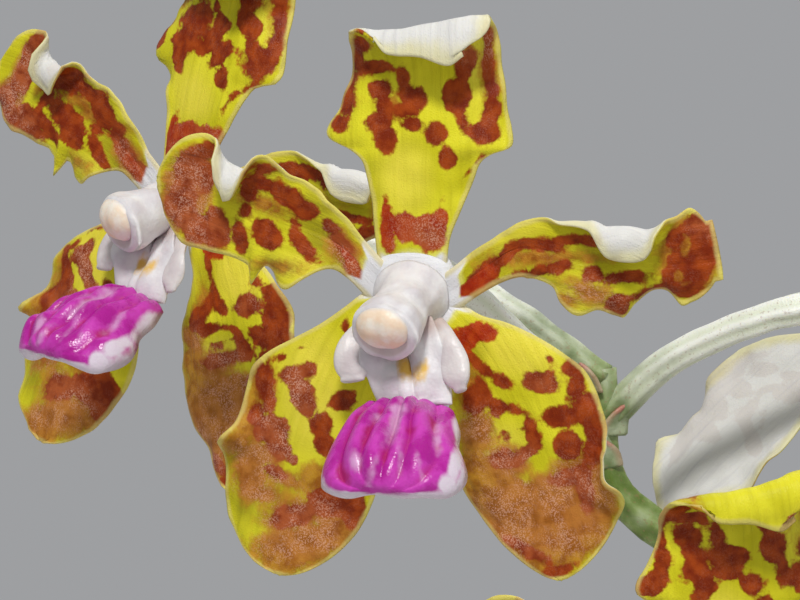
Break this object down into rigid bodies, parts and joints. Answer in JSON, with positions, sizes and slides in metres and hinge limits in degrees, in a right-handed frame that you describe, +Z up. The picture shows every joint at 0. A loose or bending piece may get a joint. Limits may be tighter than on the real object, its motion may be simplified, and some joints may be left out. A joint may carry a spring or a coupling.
{
  "type": "potted orchid",
  "caption": "Strap-leaved orchid in a round clay pot of bark, with an arching spike of waxy yellow flowers blotched red-brown, white behind, each with a magenta lip.",
  "frame": {"origin": "centre of the pot's flat underside", "axes": "+Z up; -Y towards the front, where the first flower faces; the flower spike leans to -X"},
  "size_m": [0.2193, 0.3064, 0.4116],
  "materials": {
    "clay": "unglazed terracotta, matt",
    "bark": "rough pine bark pieces",
    "leaf": "leathery green leaf, satin",
    "root": "spongy grey-white root skin, matt",
    "stalk": "smooth pale green flower stalk",
    "tepal": "waxy petal, yellow with red-brown blotches in front and white behind",
    "white_flower": "waxy white, satin",
    "lip": "waxy magenta with white streaks"
  },
  "bodies": {
    "root": {"pot": "clay", "bark": "bark", "stem": "leaf", "spike": "stalk", "leaf_01": "leaf", "leaf_02": "leaf", "leaf_03": "leaf", "leaf_04": "leaf", "leaf_05": "leaf", "leaf_06": "leaf", "leaf_07": "leaf", "leaf_08": "leaf", "leaf_09": "leaf", "leaf_10": "leaf", "leaf_11": "leaf", "leaf_12": "leaf", "root_1": "root", "root_2": "root", "root_3": "root", "root_4": "root", "root_5": "root", "bloom_1_tepals": "tepal", "bloom_1_column": "white_flower", "bloom_1_lip_base": "white_flower", "bloom_1_lip_blade": "lip", "bloom_2_tepals": "tepal", "bloom_2_column": "white_flower", "bloom_2_lip_base": "white_flower", "bloom_2_lip_blade": "lip", "bloom_3_tepals": "tepal", "bloom_3_column": "white_flower", "bloom_3_lip_base": "white_flower", "bloom_3_lip_blade": "lip", "bloom_4_tepals": "tepal", "bloom_4_column": "white_flower", "bloom_4_lip_base": "white_flower", "bloom_4_lip_blade": "lip", "bloom_5_tepals": "tepal", "bloom_5_column": "white_flower", "bloom_5_lip_base": "white_flower", "bloom_5_lip_blade": "lip", "bloom_6_tepals": "tepal", "bloom_6_column": "white_flower", "bloom_6_lip_base": "white_flower", "bloom_6_lip_blade": "lip"}
  },
  "joints": []
}
